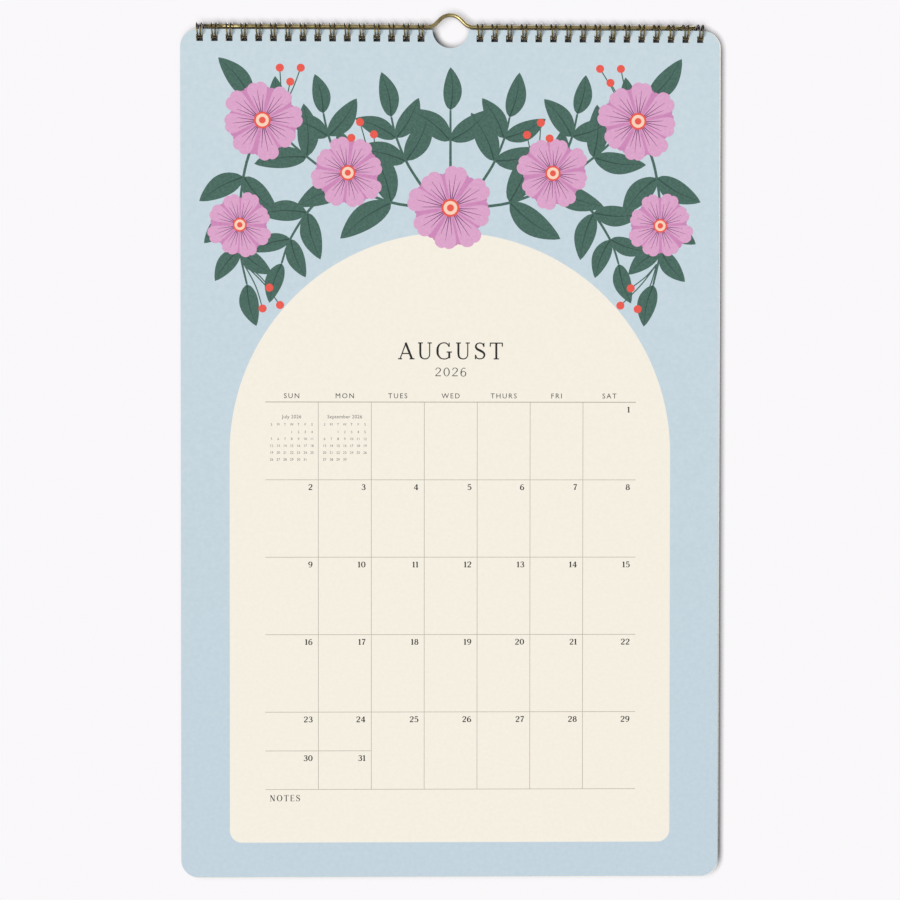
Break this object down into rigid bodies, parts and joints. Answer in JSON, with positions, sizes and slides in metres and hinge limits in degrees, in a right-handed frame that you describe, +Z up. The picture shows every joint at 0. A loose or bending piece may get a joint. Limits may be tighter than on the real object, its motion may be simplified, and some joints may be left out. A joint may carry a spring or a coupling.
{
  "type": "wall calendar",
  "caption": "Tall wire-bound wall calendar hung from a wire hanger with a nail arch, open at one month, with leaves that lift and turn on the loops.",
  "frame": {"origin": "the nail seat, under the top of the hanger's arch, in the middle of the wire", "axes": "+X to the reader's right, +Y away from the reader towards the wall, +Z up as it hangs"},
  "size_m": [0.31, 0.0092, 0.4979],
  "materials": {
    "hanger_brass": "drawn wire, satin",
    "binding_brass": "coated wire, satin gold",
    "plain_card": "uncoated cream card",
    "printed_paper": "matt printed paper",
    "cover_paper": "matt uncoated paper",
    "turned_paper": "matt uncoated paper"
  },
  "bodies": {
    "hanger": {"hanger": "hanger_brass"},
    "binding": {"left_binding_wire": "binding_brass", "right_binding_wire": "binding_brass", "backing_card": "plain_card"},
    "coming_leaves": {"coming_leaves": "printed_paper"},
    "turned_leaves": {"front_cover": "cover_paper", "turned_leaves": "turned_paper"}
  },
  "joints": [
    {"name": "calendar_swing", "type": "hinge", "parent": "hanger", "child": "binding", "pos_m": [0, 0, -0.00565], "axis": [-1, 0, 0], "range_deg": [-45, 45]},
    {"name": "coming_leaves_lift", "type": "hinge", "parent": "binding", "child": "coming_leaves", "pos_m": [0, -0.00044, -0.00775], "axis": [-1, 0, 0], "range_deg": [0, 120]},
    {"name": "turned_leaves_lift", "type": "hinge", "parent": "binding", "child": "turned_leaves", "pos_m": [0, 0.00142, -0.00901], "axis": [1, 0, 0], "range_deg": [0, 100]}
  ]
}
